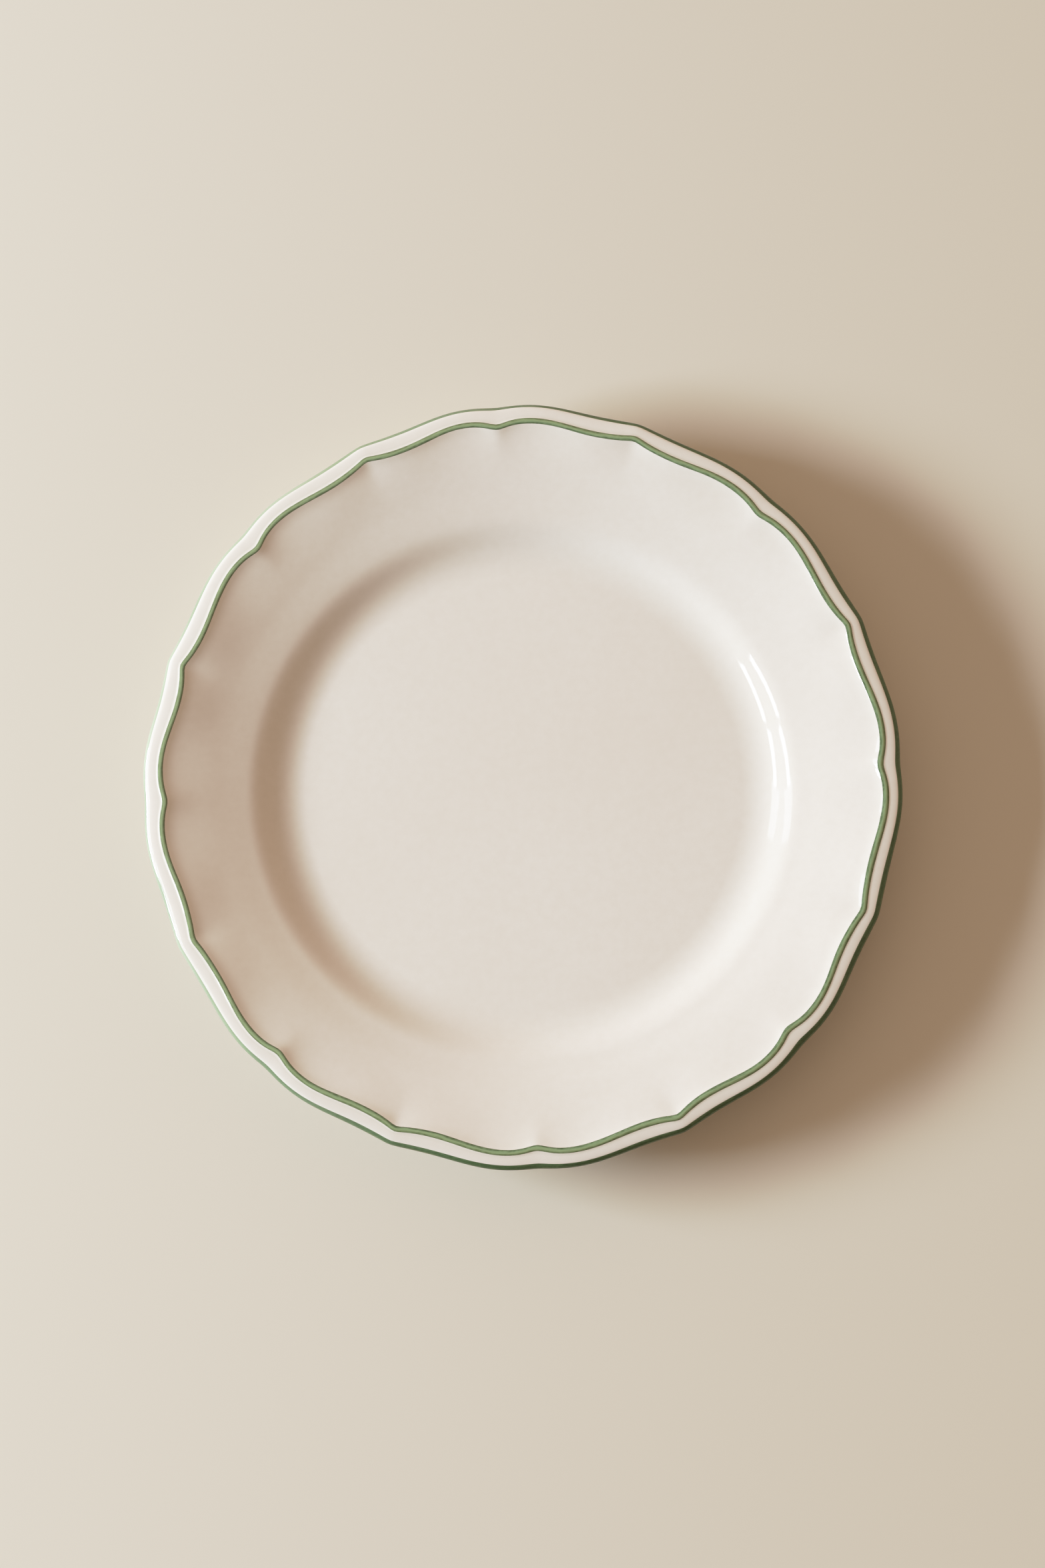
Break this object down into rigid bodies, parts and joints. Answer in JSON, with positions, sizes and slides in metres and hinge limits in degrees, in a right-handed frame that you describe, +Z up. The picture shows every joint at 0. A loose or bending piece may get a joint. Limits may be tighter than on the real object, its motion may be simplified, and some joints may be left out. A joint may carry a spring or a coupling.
{
  "type": "china dinner plate",
  "caption": "Round china dinner plate with a flat floor, a broad sloping rim, a raised bead and a scalloped edge, trimmed with painted green lines.",
  "frame": {"origin": "middle of the plate, on the surface the foot ring rests on", "axes": "+Z up along the plate's axis, out of the eating side; +X through a notch of the scalloped edge"},
  "size_m": [0.2726, 0.2726, 0.0216],
  "materials": {
    "fired_clay": "matt, bare where the foot ring rests",
    "ivory_glaze": "clear high gloss over ivory-white china",
    "bead_green": "glossy, hand painted, paler along the crest",
    "edge_green": "glossy, hand painted, dark"
  },
  "bodies": {
    "root": {"china_body": "fired_clay", "glaze_face": "ivory_glaze", "bead_line": "bead_green", "glaze_lip": "ivory_glaze", "edge_line": "edge_green", "glaze_back": "ivory_glaze", "glaze_base": "ivory_glaze"}
  },
  "joints": []
}
